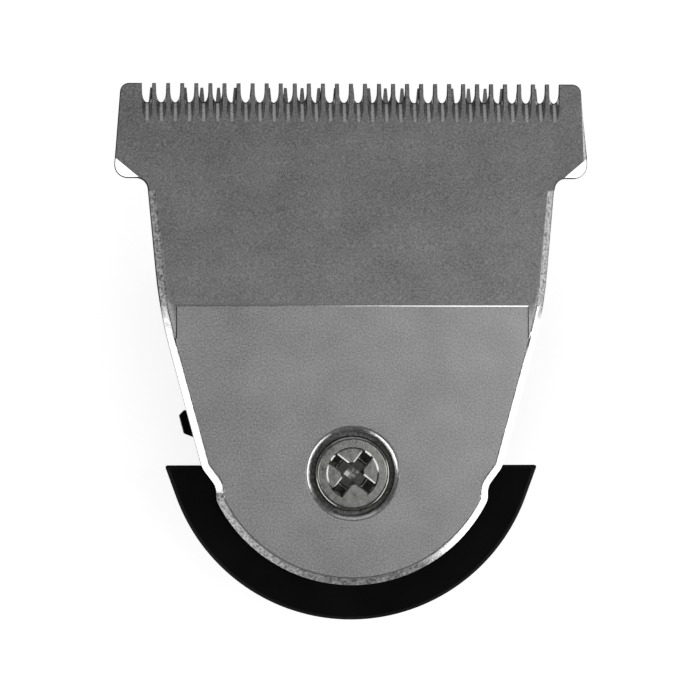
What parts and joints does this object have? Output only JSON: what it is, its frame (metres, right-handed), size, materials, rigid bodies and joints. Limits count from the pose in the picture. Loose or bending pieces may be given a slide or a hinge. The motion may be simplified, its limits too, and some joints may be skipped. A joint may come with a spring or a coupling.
{
  "type": "hair clipper blade",
  "caption": "Clip-on T-shaped trimmer blade set: ground steel comb, cutter that slides behind its teeth, tension spring, drive bridge and black moulded carrier.",
  "frame": {"origin": "below the middle of the set's box, on the plane of the carrier's rear rim on which the set rests", "axes": "+X across the teeth, along the cutter's stroke; +Y from the carrier's tail to the teeth; +Z out of the ground front face of the comb"},
  "size_m": [0.032, 0.0362, 0.0095],
  "materials": {
    "ground_steel": "ground and fine blasted",
    "cutter_steel": "ground",
    "screw_steel": "bright plated",
    "spring_wire": "drawn and polished",
    "carrier_plastic": "moulded, fine spark-eroded grain",
    "bridge_plastic": "moulded acetal, satin"
  },
  "bodies": {
    "blade_set": {"fixed_blade": "ground_steel", "blade_carrier": "carrier_plastic", "fixing_screw": "screw_steel", "tension_spring": "spring_wire"},
    "cutter": {"moving_blade": "cutter_steel", "drive_bridge": "bridge_plastic"}
  },
  "joints": [
    {"name": "cutter_stroke", "type": "slide", "parent": "blade_set", "child": "cutter", "axis": [1, 0, 0], "range_m": [-0.0002, 0.0023]}
  ]
}
